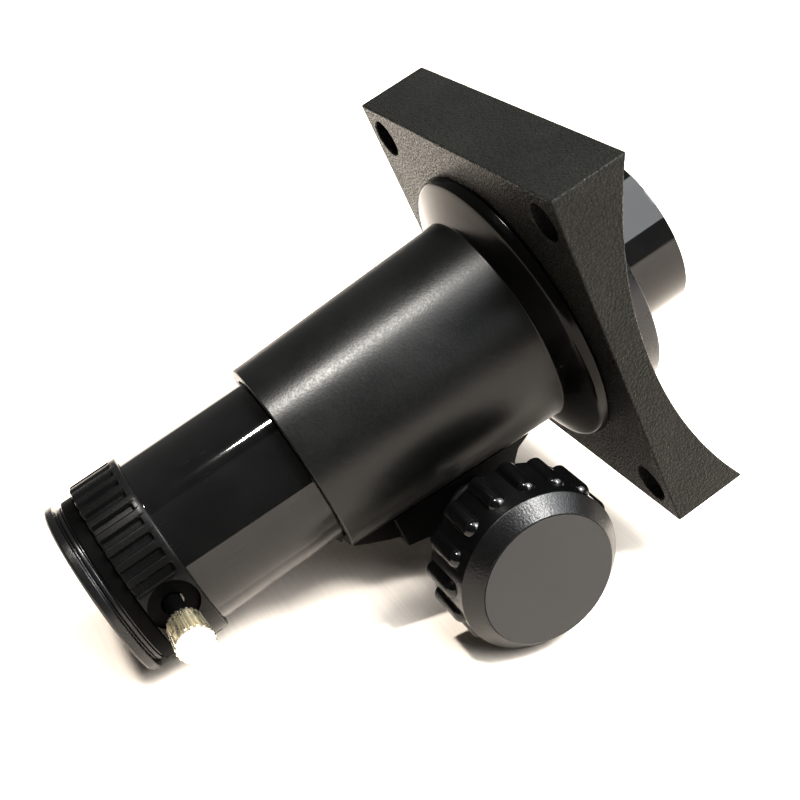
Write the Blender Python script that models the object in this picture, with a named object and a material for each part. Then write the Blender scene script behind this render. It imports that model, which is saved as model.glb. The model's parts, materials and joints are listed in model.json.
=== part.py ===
"""Rack-and-pinion eyepiece focuser for a reflecting telescope.

Built in the focuser's own frame: Y runs along the light path from the eyepiece
end to the telescope, X along the focus shaft, Z away from the shaft. The whole
assembly hangs under one empty that leans it onto its two knobs and the rim of
the eyepiece holder, the way it lies on a table.
"""
import math

import bmesh
import bpy
from mathutils import Matrix, Vector

MM = 0.001

# Saddle plate
PLATE_SIDE = 80.0
TUBE_RADIUS = 86.6          # radius of the telescope tube it sits on
PLATE_WEB = 6.75            # thickness left in the middle
PLATE_HOLE_PITCH = 66.2
PLATE_HOLE_RADIUS = 4.15

# Housing
TIP_Y = -57.4
TIP_RADIUS = 21.7
ROOT_RADIUS = 23.9
FLANGE_RADIUS = 32.1
SPIGOT_RADIUS = 24.7
SPIGOT_END_Y = 14.6
GUIDE_RADIUS = 19.15
LINER_SEAT_RADIUS = 20.2
RING_RADIUS = 29.0
RING_END_Y = 15.5

# Drawtube and eyepiece end
DRAW_RADIUS = 18.7
DRAW_BORE = 16.9
DRAW_FRONT_Y = -97.5
DRAW_REAR_Y = 31.1
COLLAR_RADIUS = 20.4
COLLAR_ROOT_RADIUS = 19.4
COLLAR_FRONT_Y = -97.3
COLLAR_RIB_END_Y = -88.5
COLLAR_BACK_Y = -86.6
COLLAR_RIBS = 36
HOLDER_BORE = 15.95
RIM_FRONT_Y = -104.0
RIM_RADIUS = 19.4
THUMB_Y = -92.3
THUMB_TURN = math.radians(3.3)
THUMB_HEAD_X = 26.6         # inner end of the knurled head, from the light path
THUMB_END_X = 35.2

# Rack and pinion
SHAFT_Y = -31.5
SHAFT_DROP = 26.1           # focus shaft below the light path
SHAFT_RADIUS = 2.5
MODULE = 0.8
PINION_TEETH = 12
PITCH_RADIUS = MODULE * PINION_TEETH / 2
RACK_PITCH = math.pi * MODULE
RACK_TEETH = 33
RACK_TEETH_AHEAD = 11       # whole teeth in front of the pinion
RACK_HALF_WIDTH = 3.9
RACK_SEAT_DROP = 18.2
RACK_SCREW_Y = (-56.6, 20.5)
RACK_ROOF_DROP = SHAFT_DROP - PITCH_RADIUS + MODULE + 0.5   # floor of the slot it runs in

# Focus knobs
KNOB_FACE_X = 45.84
KNOB_BACK_X = 29.6
KNOB_RADIUS = 17.3
KNOB_FACE_RADIUS = 14.25
KNOB_BEVEL_X = 42.4
LOBE_COUNT = 16
LOBE_CENTRE_RADIUS = 16.4
LOBE_RADIUS = 2.2
LOBE_TIP_X = 40.1

HOUSING_HALF_WIDTH = 13.0
NOSE_HALF_WIDTH = 9.0       # narrower front of the pinion housing, under the tip
COVER_SCREW_X = 8.8
COVER_SCREW_Y = (-36.6, -26.4)

FLAT_BLACK = ("textured_black_plastic", (0.018, 0.018, 0.020), 0.55, 0.0)
SATIN_BLACK = ("satin_black_plastic", (0.012, 0.012, 0.014), 0.36, 0.0)
GLOSS_BLACK = ("gloss_black_anodised", (0.008, 0.008, 0.010), 0.10, 0.2)
MOULDED_BLACK = ("moulded_black_plastic", (0.012, 0.012, 0.013), 0.30, 0.0)
CAST_BLACK = ("black_painted_casting", (0.012, 0.012, 0.013), 0.30, 0.0)
CAP_BLACK = ("satin_grey_black", (0.045, 0.045, 0.048), 0.42, 0.0)
NICKEL = ("nickel_plate", (0.80, 0.77, 0.70), 0.18, 1.0)
STEEL = ("bright_steel", (0.55, 0.55, 0.56), 0.28, 1.0)
BRASS = ("brass", (0.70, 0.52, 0.24), 0.30, 1.0)
NYLON = ("white_nylon", (0.75, 0.74, 0.70), 0.50, 0.0)
BLACK_NYLON = ("black_nylon", (0.02, 0.02, 0.02), 0.45, 0.0)
LINER = ("black_liner", (0.02, 0.02, 0.02), 0.65, 0.0)


def clear_scene():
    for thing in list(bpy.data.objects):
        bpy.data.objects.remove(thing, do_unlink=True)


def material(spec):
    name, colour, roughness, metallic = spec
    found = bpy.data.materials.get(name)
    if found:
        return found
    made = bpy.data.materials.new(name)
    made.use_nodes = True
    shader = made.node_tree.nodes["Principled BSDF"]
    shader.inputs["Base Color"].default_value = (*colour, 1.0)
    shader.inputs["Roughness"].default_value = roughness
    shader.inputs["Metallic"].default_value = metallic
    made.diffuse_color = (*colour, 1.0)
    return made


def empty(name, location=(0, 0, 0), parent=None):
    made = bpy.data.objects.new(name, None)
    bpy.context.collection.objects.link(made)
    made.empty_display_size = 0.01
    made.location = [v * MM for v in location]
    made.parent = parent
    return made


def place(name, bm, spec, parent, location=(0, 0, 0), smooth=35.0):
    """Turn a bmesh drawn in millimetres into a named object."""
    bmesh.ops.remove_doubles(bm, verts=bm.verts, dist=1e-5)
    bmesh.ops.recalc_face_normals(bm, faces=bm.faces)
    bmesh.ops.scale(bm, vec=(MM, MM, MM), verts=bm.verts)
    mesh = bpy.data.meshes.new(name)
    bm.to_mesh(mesh)
    bm.free()
    mesh.shade_smooth()
    mesh.set_sharp_from_angle(angle=math.radians(smooth))
    made = bpy.data.objects.new(name, mesh)
    bpy.context.collection.objects.link(made)
    made.location = [v * MM for v in location]
    made.parent = parent
    if spec:
        mesh.materials.append(material(spec))
    return made


def ring_point(axis, along, radius, angle):
    """A point at a distance along an axis and out from it."""
    c, s = radius * math.cos(angle), radius * math.sin(angle)
    return {"X": (along, c, s), "Y": (c, along, s), "Z": (c, s, along)}[axis]


def turned(axis, profile, steps):
    """Revolve a closed loop of (along, radius) pairs about an axis."""
    bm = bmesh.new()
    rings = []
    for along, radius in profile:
        if radius < 1e-6:
            rings.append([bm.verts.new(ring_point(axis, along, 0.0, 0.0))])
        else:
            rings.append([
                bm.verts.new(ring_point(axis, along, radius, 2 * math.pi * k / steps))
                for k in range(steps)
            ])
    for here, there in zip(rings, rings[1:] + rings[:1]):
        for k in range(steps):
            n = (k + 1) % steps
            loop = [here[k % len(here)], here[n % len(here)],
                    there[n % len(there)], there[k % len(there)]]
            corners = list(dict.fromkeys(loop))
            if len(corners) > 2:
                bm.faces.new(corners)
    return bm


def lofted(sections):
    """Skin a stack of equal point loops and close both ends."""
    bm = bmesh.new()
    loops = [[bm.verts.new(p) for p in section] for section in sections]
    count = len(loops[0])
    for here, there in zip(loops, loops[1:]):
        for k in range(count):
            n = (k + 1) % count
            bm.faces.new((here[k], here[n], there[n], there[k]))
    for loop in (loops[0], loops[-1]):
        bm.faces.new(loop)
    return bm


def prism(axis, outline, low, high):
    """Push a flat outline along an axis. The outline lists the other two axes in order."""
    def lift(p, along):
        a, b = p
        return {"X": (along, a, b), "Y": (a, along, b), "Z": (a, b, along)}[axis]
    return lofted([[lift(p, low) for p in outline], [lift(p, high) for p in outline]])


def block(low, high):
    (x0, y0, z0), (x1, y1, z1) = low, high
    return prism("Z", [(x0, y0), (x1, y0), (x1, y1), (x0, y1)], z0, z1)


def rod(axis, low, high, radius, steps=32, at=(0, 0, 0)):
    bm = turned(axis, [(low, 0), (low, radius), (high, radius), (high, 0)], steps)
    bmesh.ops.translate(bm, vec=at, verts=bm.verts)
    return bm


def bevel_edges(made, width, angle=40.0):
    edge = made.modifiers.new("edge", "BEVEL")
    edge.width = width * MM
    edge.segments = 1
    edge.limit_method = "ANGLE"
    edge.angle_limit = math.radians(angle)
    return made


def boolean(target, name, bm, operation="DIFFERENCE"):
    """Cut or join a helper shape that is never shown itself."""
    helper = place(name, bm, None, target.parent)
    helper.location = target.location
    helper.hide_render = True
    helper.display_type = "WIRE"
    step = target.modifiers.new(name, "BOOLEAN")
    step.operation = operation
    step.solver = "EXACT"
    step.object = helper


def body_radius(y):
    """Outside radius of the tapered housing at y."""
    t = (y - TIP_Y) / (-5.6 - TIP_Y)
    return TIP_RADIUS + (ROOT_RADIUS - TIP_RADIUS) * t


def make_saddle_plate(parent):
    half = PLATE_SIDE / 2
    centre_y = PLATE_WEB + TUBE_RADIUS
    steps = 30
    reach = math.asin((half) / TUBE_RADIUS)
    arc = []
    for k in range(steps + 1):
        a = reach - 2 * reach * k / steps
        arc.append((centre_y - TUBE_RADIUS * math.cos(a), TUBE_RADIUS * math.sin(a)))
    outline = [(0.0, -half), (0.0, half)] + arc
    plate = place("saddle_plate", prism("X", outline, -half, half), FLAT_BLACK, parent)
    bevel_edges(plate, 0.3, 35.0)
    boolean(plate, "plate_bore_cut", rod("Y", -5, 40, SPIGOT_RADIUS + 0.35, 64))
    boolean(plate, "plate_ring_seat_cut", rod("Y", 3.1, 40, RING_RADIUS + 0.35, 64))
    for sx in (-1, 1):
        for sz in (-1, 1):
            at = (sx * PLATE_HOLE_PITCH / 2, 0, sz * PLATE_HOLE_PITCH / 2)
            boolean(plate, f"plate_hole_cut_{sx}_{sz}", rod("Y", -5, 40, PLATE_HOLE_RADIUS, 24, at))
    return plate


def make_body(parent):
    outer = [
        (TIP_Y + 0.4, TIP_RADIUS), (-5.6, ROOT_RADIUS), (-5.0, 25.8), (-4.2, 27.9),
        (-3.2, 29.9), (-2.2, 31.3), (-1.5, FLANGE_RADIUS), (-0.5, FLANGE_RADIUS),
        (-0.3, FLANGE_RADIUS - 0.2), (-0.3, SPIGOT_RADIUS), (SPIGOT_END_Y - 0.6, SPIGOT_RADIUS),
        (SPIGOT_END_Y, SPIGOT_RADIUS - 0.6),
    ]
    inner = [
        (SPIGOT_END_Y, GUIDE_RADIUS), (13.2, GUIDE_RADIUS), (13.2, LINER_SEAT_RADIUS),
        (3.2, LINER_SEAT_RADIUS), (3.2, GUIDE_RADIUS + 0.45), (-45.0, GUIDE_RADIUS + 0.45),
        (-45.0, LINER_SEAT_RADIUS), (-56.2, LINER_SEAT_RADIUS), (-56.2, GUIDE_RADIUS),
        (TIP_Y + 0.2, GUIDE_RADIUS), (TIP_Y, GUIDE_RADIUS + 0.2), (TIP_Y, TIP_RADIUS - 0.4),
    ]
    body = place("focuser_body", turned("Y", outer + inner, 56), SATIN_BLACK, parent)
    boolean(body, "body_slot_cut", block((-4.7, -70, -RACK_ROOF_DROP), (4.7, 40, -17)))
    boolean(body, "body_pinion_cut",
            block((-5.3, SHAFT_Y - 6.4, -30), (5.3, SHAFT_Y + 6.4, -17)))
    boolean(body, "body_pad_cut", rod("Z", -30, -18.5, 2.6, 24, (0, -47.5, 0)))
    for sx in (-1, 1):
        for y in COVER_SCREW_Y:
            boolean(body, f"body_screw_cut_{sx}_{y:.0f}",
                    rod("Z", -30, -19.0, 1.35, 16, (sx * COVER_SCREW_X, y, 0)))
    return body


def make_lock_ring(parent):
    ring = [
        (3.4, SPIGOT_RADIUS + 0.3), (3.4, RING_RADIUS - 0.2), (3.6, RING_RADIUS),
        (RING_END_Y - 0.5, RING_RADIUS), (RING_END_Y, RING_RADIUS - 0.5),
        (RING_END_Y, SPIGOT_RADIUS + 0.7), (RING_END_Y - 0.4, SPIGOT_RADIUS + 0.3),
    ]
    return place("rear_lock_ring", turned("Y", ring, 64), MOULDED_BLACK, parent)


def make_liner(name, low, high, parent):
    liner = place(name, turned("Y", [
        (low, DRAW_RADIUS + 0.12), (high, DRAW_RADIUS + 0.12),
        (high, LINER_SEAT_RADIUS - 0.15), (low, LINER_SEAT_RADIUS - 0.15)], 48), LINER, parent)
    boolean(liner, name + "_gap_cut", block((-5.2, low - 2, -26), (5.2, high + 2, -10)))
    return liner


def make_pinion_housing(parent):
    w, n = HOUSING_HALF_WIDTH, NOSE_HALF_WIDTH
    outline = [
        (-47.2, -14.0), (-47.2, -26.4), (-42.6, -27.6), (-39.8, -32.2), (-23.4, -32.2),
        (-19.4, -29.5), (-18.4, -24.4), (-16.4, -21.9), (-12.1, -19.9), (-12.1, -14.0),
    ]
    nose = [(-56.8, -14.0), (-56.8, -21.1), (-49.6, -25.3), (-46.0, -27.0), (-42.0, -27.0),
            (-42.0, -14.0)]
    house = place("pinion_housing", prism("X", outline, -w, w), SATIN_BLACK, parent)
    boolean(house, "housing_nose", prism("X", nose, -n, n), "UNION")
    bevel_edges(house, 0.4, 30.0)
    # the saddle that fits round the tapered housing
    cone = [(-70, 0), (-70, body_radius(-70) + 0.3), (0, body_radius(0) + 0.3), (0, 0)]
    boolean(house, "housing_saddle_cut", turned("Y", cone, 64))
    boolean(house, "housing_rack_cut", block((-4.7, -70, -RACK_ROOF_DROP), (4.7, 0, -10)))
    boolean(house, "housing_pinion_cut",
            block((-5.4, SHAFT_Y - 6.6, -40), (5.4, SHAFT_Y + 6.6, -10)))
    boolean(house, "housing_shaft_cut",
            rod("X", -30, 30, 4.1, 32, (0, SHAFT_Y, -SHAFT_DROP)))
    boolean(house, "housing_pad_cut", rod("Z", -40, -10, 2.1, 24, (0, -47.5, 0)))
    for sx in (-1, 1):
        for y in COVER_SCREW_Y:
            boolean(house, f"housing_screw_cut_{sx}_{y:.0f}",
                    rod("Z", -40, -10, 1.35, 16, (sx * COVER_SCREW_X, y, 0)))
    return house


def make_cover(parent):
    cover = place("pinion_cover_plate",
                  block((-12.2, -39.4, -34.0), (12.2, -23.6, -32.5)), SATIN_BLACK, parent)
    bevel_edges(cover, 0.4)
    for sx in (-1, 1):
        for y in COVER_SCREW_Y:
            boolean(cover, f"cover_screw_cut_{sx}_{y:.0f}",
                    rod("Z", -40, -30, 1.35, 16, (sx * COVER_SCREW_X, y, 0)))
            side, end = ("right" if sx > 0 else "left"), ("front" if y < SHAFT_Y else "rear")
            screw = place(f"cover_screw_{side}_{end}", turned("Z", [
                (-36.0, 0), (-36.0, 1.5), (-35.6, 2.1), (-34.3, 2.2), (-34.3, 1.05),
                (-19.5, 1.05), (-19.3, 0.8), (-19.3, 0)], 16), STEEL, parent,
                (sx * COVER_SCREW_X, y, 0))
            boolean(screw, f"screw_slot_cut_{side}_{end}",
                    block((-3, -0.3, -40), (3, 0.3, -35.3)))
    return cover


def make_tension_parts(parent):
    place("tension_pad", turned("Z", [
        (-25.0, 0), (-25.0, 1.75), (-22.75, 1.75), (-22.45, 1.4), (-22.45, 0)], 24),
        NYLON, parent, (0, -47.5, 0))
    screw = place("tension_screw", turned("Z", [
        (-30.2, 0), (-30.2, 1.5), (-29.9, 1.8), (-25.6, 1.8), (-25.3, 1.5), (-25.3, 0)], 28),
        STEEL, parent, (0, -47.5, 0))
    boolean(screw, "tension_slot_cut", block((-3, -0.35, -35), (3, 0.35, -29.2)))


def make_bushings(parent):
    for sx, side in ((-1, "left"), (1, "right")):
        loop = [(5.7, SHAFT_RADIUS + 0.1), (5.7, 3.75), (13.3, 3.75), (13.3, 5.2),
                (14.1, 5.2), (14.4, 4.9), (14.4, SHAFT_RADIUS + 0.1)]
        place(f"shaft_bushing_{side}", turned("X", [(sx * a, r) for a, r in loop], 28),
              BLACK_NYLON, parent, (0, SHAFT_Y, -SHAFT_DROP))


def make_drawtube(parent):
    tube = place("drawtube", turned("Y", [
        (DRAW_FRONT_Y, DRAW_BORE), (DRAW_FRONT_Y, DRAW_RADIUS), (DRAW_REAR_Y - 0.25, DRAW_RADIUS),
        (DRAW_REAR_Y, DRAW_RADIUS - 0.25), (DRAW_REAR_Y, DRAW_BORE + 0.25),
        (DRAW_REAR_Y - 0.25, DRAW_BORE)], 64), GLOSS_BLACK, parent)
    boolean(tube, "rack_seat_cut",
            block((-4.2, rack_profile()[1] - 0.4, -30), (4.2, rack_profile()[2] + 0.4, -RACK_SEAT_DROP)))
    for y in RACK_SCREW_Y:
        boolean(tube, f"rack_screw_cut_{y:.0f}", rod("Z", -25, -10, 1.25, 16, (0, y, 0)))
    boolean(tube, "tube_thumb_cut", thumb_rod(10, 30, 2.35))
    return tube


def rack_profile():
    """Tooth outline of the rack in (y, z), with a tooth gap over the pinion."""
    pitch_drop = SHAFT_DROP - PITCH_RADIUS
    tip, root = pitch_drop + MODULE, pitch_drop - 1.25 * MODULE
    points = []
    first = SHAFT_Y - RACK_TEETH_AHEAD * RACK_PITCH
    slope = math.tan(math.radians(20))
    half_tooth = RACK_PITCH / 4 - 0.12
    for k in range(RACK_TEETH):
        mid = first + (k + 0.5) * RACK_PITCH
        wide, narrow = half_tooth + 1.25 * MODULE * slope, half_tooth - MODULE * slope
        points += [(mid - wide, -root), (mid - narrow, -tip), (mid + narrow, -tip), (mid + wide, -root)]
    start, end = points[0][0] - 0.6, points[-1][0] + 0.6
    seat = -(RACK_SEAT_DROP + 0.3)
    return [(start, seat), (start, -root)] + points + [(end, -root), (end, seat)], start, end


def make_rack(parent):
    outline, start, end = rack_profile()
    rack = place("focus_rack", prism("X", outline, -RACK_HALF_WIDTH, RACK_HALF_WIDTH),
                 MOULDED_BLACK, parent)
    for y, which in zip(RACK_SCREW_Y, ("front", "rear")):
        boolean(rack, f"rack_hole_cut_{which}", rod("Z", -19.9, -10, 1.25, 16, (0, y, 0)))
        place(f"rack_screw_{which}", turned("Z", [
            (-19.6, 0), (-19.6, 0.8), (-19.4, 0.95), (-16.5, 0.95), (-16.5, 1.9),
            (-15.9, 1.9), (-15.5, 1.3), (-15.5, 0)], 20), STEEL, parent, (0, y, 0))
    return rack


def make_collar(parent):
    """Ribbed ring: square ribs over the grip, then a plain band at the back."""
    def section(y, rib, gap):
        points = []
        for k in range(COLLAR_RIBS):
            for part, radius in ((0.05, gap), (0.40, gap), (0.48, rib), (0.97, rib)):
                a = 2 * math.pi * (k + part) / COLLAR_RIBS
                points.append((radius * math.cos(a), y, radius * math.sin(a)))
        return points
    top, low = COLLAR_RADIUS, COLLAR_ROOT_RADIUS
    sections = [
        section(COLLAR_FRONT_Y, top - 0.4, low - 0.3), section(COLLAR_FRONT_Y + 0.4, top, low),
        section(COLLAR_RIB_END_Y, top, low), section(COLLAR_RIB_END_Y + 0.45, top, top),
        section(COLLAR_BACK_Y - 0.35, top, top), section(COLLAR_BACK_Y, top - 0.35, top - 0.35),
    ]
    collar = place("ribbed_collar", lofted(sections), CAST_BLACK, parent, smooth=30.0)
    boolean(collar, "collar_bore_cut", rod("Y", -110, -70, DRAW_RADIUS + 0.15, 64))
    boolean(collar, "collar_pocket_cut", thumb_rod(19.35, 40, 5.2, 28))
    boolean(collar, "collar_thumb_cut", thumb_rod(10, 30, 2.35))
    return collar


def make_holder(parent):
    loop = [
        (RIM_FRONT_Y, HOLDER_BORE + 0.5), (RIM_FRONT_Y, RIM_RADIUS - 0.5),
        (RIM_FRONT_Y + 0.5, RIM_RADIUS), (-102.0, RIM_RADIUS), (-102.0, 17.7), (-101.5, 17.7),
        (-101.5, 18.2), (-100.7, 18.2), (-100.7, 17.8), (-100.2, 17.8), (-100.2, 18.55),
        (-97.8, 18.55), (-97.8, 16.65), (-84.3, 16.65), (-84.0, 16.35),
        (-84.0, HOLDER_BORE), (RIM_FRONT_Y + 0.5, HOLDER_BORE),
    ]
    holder = place("eyepiece_holder", turned("Y", loop, 52), CAST_BLACK, parent)
    boolean(holder, "holder_thumb_cut", thumb_rod(10, 30, 2.35))
    return holder


def thumb_rod(low, high, radius, steps=24):
    """A cylinder along the thumb screw's axis, drawn about the light path."""
    bm = rod("X", low, high, radius, steps, (0, THUMB_Y, 0))
    bmesh.ops.rotate(bm, matrix=Matrix.Rotation(-THUMB_TURN, 3, "Y"), verts=bm.verts)
    return bm


def make_thumb_screw(parent):
    """Knurled head and plain shank, drawn along +X from the light path outward."""
    ridges = 24
    def knurl(x, radius, depth):
        points = []
        for k in range(ridges):
            for part, r in ((0.0, radius), (0.34, radius), (0.55, radius - depth), (0.79, radius - depth)):
                a = 2 * math.pi * (k + part) / ridges
                points.append((x, r * math.cos(a), r * math.sin(a)))
        return points
    low, high = THUMB_HEAD_X, THUMB_END_X
    sections = [knurl(low, 2.7, 0.0), knurl(low + 0.8, 3.5, 0.25), knurl(high - 0.4, 3.95, 0.3),
                knurl(high, 3.6, 0.0)]
    screw = place("thumb_screw", lofted(sections), NICKEL, parent)
    shank = [(16.05, 0), (16.05, 1.4), (16.5, 1.9), (low + 1.0, 1.9), (low + 1.0, 0)]
    boolean(screw, "thumb_shank", turned("X", shank, 20), "UNION")
    return screw


def make_focus_parts(parent):
    """Shaft, pinion and both knobs, drawn about the shaft's own axis."""
    shaft = place("focus_shaft", turned("X", [
        (-41.0, 0), (-41.0, SHAFT_RADIUS - 0.3), (-40.7, SHAFT_RADIUS), (40.7, SHAFT_RADIUS),
        (41.0, SHAFT_RADIUS - 0.3), (41.0, 0)], 32), STEEL, parent)
    for sx, side in ((-1, "left"), (1, "right")):
        boolean(shaft, f"shaft_hole_cut_{side}", rod("X", *sorted((sx * 32.0, sx * 50.0)), 1.55, 16))
    make_pinion(parent)
    for sx, side in ((-1, "left"), (1, "right")):
        make_knob(parent, sx, side)


def make_pinion(parent):
    tip, root = PITCH_RADIUS + MODULE * 0.95, PITCH_RADIUS - MODULE * 1.2
    outline = []
    for k in range(PINION_TEETH):
        mid = math.pi / 2 + 2 * math.pi * k / PINION_TEETH
        flank = ((root, 0.58), (PITCH_RADIUS, 0.46), (PITCH_RADIUS + 0.4, 0.33), (tip, 0.15))
        outline += [(radius, mid - half / radius) for radius, half in flank]
        outline += [(radius, mid + half / radius) for radius, half in reversed(flank)]
    points = [(r * math.cos(a), r * math.sin(a)) for r, a in outline]
    gear = place("pinion_gear", prism("X", points, -4.3, 4.3), BRASS, parent)
    boolean(gear, "pinion_bore_cut", rod("X", -10, 10, SHAFT_RADIUS + 0.1, 32))


def make_knob(parent, sx, side):
    loop = [
        (KNOB_BACK_X, 13.9), (KNOB_BACK_X, KNOB_RADIUS - 0.4), (KNOB_BACK_X + 0.4, KNOB_RADIUS),
        (KNOB_BEVEL_X, KNOB_RADIUS), (45.65, KNOB_FACE_RADIUS), (45.65, KNOB_FACE_RADIUS - 0.15),
        (44.3, KNOB_FACE_RADIUS - 0.15), (44.3, 3.3), (42.6, 3.3), (42.6, 1.6), (41.3, 1.6),
        (41.3, SHAFT_RADIUS + 0.12), (27.6, SHAFT_RADIUS + 0.12), (27.6, 5.4), (40.6, 6.2),
        (40.6, 13.9),
    ]
    knob = place(f"focus_knob_{side}", turned("X", [(sx * a, r) for a, r in loop], 48),
                 MOULDED_BLACK, parent)
    for k in range(LOBE_COUNT):
        a = 2 * math.pi * k / LOBE_COUNT - lean_angle()
        boolean(knob, f"lobe_{side}_{k:02d}", lobe(sx, a), "UNION")
    place(f"knob_cap_{side}", turned("X", [
        (sx * 44.55, 0), (sx * 44.55, 13.9), (sx * 45.7, 13.9), (sx * KNOB_FACE_X, 13.75),
        (sx * KNOB_FACE_X, 0)], 48), CAP_BLACK, parent)
    screw = place(f"knob_screw_{side}", turned("X", [
        (sx * 34.0, 0), (sx * 34.0, 1.1), (sx * 34.3, 1.35), (sx * 42.85, 1.35),
        (sx * 42.85, 2.8), (sx * 43.8, 2.6), (sx * 44.05, 2.2), (sx * 44.05, 0)], 24), STEEL, parent)
    boolean(screw, f"knob_slot_cut_{side}",
            block((-50 if sx < 0 else 43.6, -0.3, -4), (-43.6 if sx < 0 else 50, 0.3, 4)))


def lobe(sx, turn):
    """A grip bar with a round front end, turned about the knob's axis from straight down."""
    end = LOBE_TIP_X - LOBE_RADIUS
    loop = [(KNOB_BACK_X + 0.25, 0), (KNOB_BACK_X + 0.25, LOBE_RADIUS)]
    for k in range(3):
        a = math.pi / 2 * k / 2
        loop.append((end + LOBE_RADIUS * math.sin(a), LOBE_RADIUS * math.cos(a)))
    loop[-1] = (LOBE_TIP_X, 0)
    bm = turned("X", [(sx * a, r) for a, r in loop], 10)
    bmesh.ops.translate(bm, vec=(0, LOBE_CENTRE_RADIUS, 0), verts=bm.verts)
    bmesh.ops.rotate(bm, matrix=Matrix.Rotation(turn - math.pi / 2, 3, "X"), verts=bm.verts)
    return bm


def lean_angle():
    """Lean at which the holder's rim and the knobs' lowest lobes touch one flat surface."""
    rim_y, rim_z = RIM_FRONT_Y + 0.5, -RIM_RADIUS
    reach = SHAFT_Y - rim_y
    fall = SHAFT_DROP + rim_z
    span = math.hypot(reach, fall)
    return math.asin((LOBE_CENTRE_RADIUS + LOBE_RADIUS) / span) + math.atan2(fall, reach)


def settle(root):
    """Lower the leaning assembly until it touches z = 0 and centre it over the origin."""
    bpy.context.view_layer.update()
    graph = bpy.context.evaluated_depsgraph_get()
    low, high = Vector((9, 9, 9)), Vector((-9, -9, -9))
    for thing in bpy.data.objects:
        if thing.type != "MESH" or thing.hide_render:
            continue
        mesh = thing.evaluated_get(graph).to_mesh()
        for vert in mesh.vertices:
            p = thing.matrix_world @ vert.co
            low = Vector(map(min, low, p))
            high = Vector(map(max, high, p))
        thing.evaluated_get(graph).to_mesh_clear()
    root.location = (-(low.x + high.x) / 2, -(low.y + high.y) / 2, -low.z)


def main():
    clear_scene()
    lying = empty("lying_pose")
    lying.rotation_euler = (lean_angle(), 0, 0)
    light_path = empty("light_path", (0, 0, 0), lying)
    focus_axis = empty("focus_axis", (0, SHAFT_Y, -SHAFT_DROP), lying)
    thumb_axis = empty("thumb_axis", (0, THUMB_Y, 0), light_path)
    thumb_axis.rotation_euler = (0, -THUMB_TURN, 0)

    make_saddle_plate(lying)
    make_body(lying)
    make_lock_ring(lying)
    make_liner("front_guide_liner", -56.0, -45.2, lying)
    make_liner("rear_guide_liner", 3.4, 13.0, lying)
    make_pinion_housing(lying)
    make_cover(lying)
    make_tension_parts(lying)
    make_bushings(lying)

    make_drawtube(light_path)
    make_rack(light_path)
    make_collar(light_path)
    make_holder(light_path)
    make_thumb_screw(thumb_axis)
    make_focus_parts(focus_axis)
    settle(lying)


main()
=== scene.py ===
# Rack-and-pinion telescope focuser: fine pieces, finishes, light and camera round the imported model.
# Everything is drawn in the focuser's own millimetres: Y along the light path away from the eyepiece,
# X along the focus shaft, Z away from the shaft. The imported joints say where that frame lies.
import json
import math

import bmesh
import bpy
from mathutils import Matrix, Vector


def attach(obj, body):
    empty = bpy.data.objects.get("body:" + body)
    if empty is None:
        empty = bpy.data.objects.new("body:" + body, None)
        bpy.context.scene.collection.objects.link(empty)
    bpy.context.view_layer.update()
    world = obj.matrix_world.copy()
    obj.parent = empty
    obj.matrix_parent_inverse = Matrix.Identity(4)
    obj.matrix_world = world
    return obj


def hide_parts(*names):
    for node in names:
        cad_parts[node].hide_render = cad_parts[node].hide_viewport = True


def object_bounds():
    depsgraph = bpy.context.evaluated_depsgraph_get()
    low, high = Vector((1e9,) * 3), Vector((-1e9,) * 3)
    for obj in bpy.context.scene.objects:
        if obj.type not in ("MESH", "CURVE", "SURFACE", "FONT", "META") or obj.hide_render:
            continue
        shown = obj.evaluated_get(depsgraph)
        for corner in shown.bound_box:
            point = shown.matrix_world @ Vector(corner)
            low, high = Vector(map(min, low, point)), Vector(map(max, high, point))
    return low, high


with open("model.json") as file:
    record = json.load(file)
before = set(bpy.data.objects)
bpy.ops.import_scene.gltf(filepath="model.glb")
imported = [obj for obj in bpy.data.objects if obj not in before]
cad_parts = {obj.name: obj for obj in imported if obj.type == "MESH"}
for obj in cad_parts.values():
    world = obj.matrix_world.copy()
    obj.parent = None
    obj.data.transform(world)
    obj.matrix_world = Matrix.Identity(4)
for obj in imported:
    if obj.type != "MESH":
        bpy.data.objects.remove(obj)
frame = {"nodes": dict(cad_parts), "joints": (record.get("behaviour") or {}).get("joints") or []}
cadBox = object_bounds()
mm = 0.001
print("loaded", len(frame["nodes"]), "packed nodes")

# where the focuser lies

layout = {
    "shaftY": -31.5,      # focus shaft along the light path, from the saddle plate's flat front
    "shaftDrop": 26.1,    # and below it
    "thumbY": -92.3,      # eyepiece lock screw along the light path
}

jointOf = {j["name"]: j for j in frame["joints"]}
slideAxis = Vector(jointOf["draw_slide"]["axis"])
leanAngle = math.atan2(slideAxis.z, slideAxis.y)
leanTurn = Matrix.Rotation(leanAngle, 4, "X")
shaftAt = Vector(jointOf["focus_turn"]["pos_m"])
shaftInside = Vector((0, layout["shaftY"] * mm, -layout["shaftDrop"] * mm))
focuserFrame = Matrix.Translation(shaftAt - (leanTurn @ shaftInside)) @ leanTurn
shaftFrame = focuserFrame @ Matrix.Translation(shaftInside)
thumbAxis = leanTurn.inverted() @ Vector(jointOf["thumb_turn"]["axis"])
thumbLean = math.atan2(thumbAxis.z, thumbAxis.x)
thumbFrame = (focuserFrame @ Matrix.Translation((0, layout["thumbY"] * mm, 0))
              @ Matrix.Rotation(-thumbLean, 4, "Y"))


# shaping tools

fineSteps = 192    # sides of the big turned pieces
boreSteps = 160    # sides of the cuts through them
holeSteps = 24     # sides of a screw hole


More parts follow.
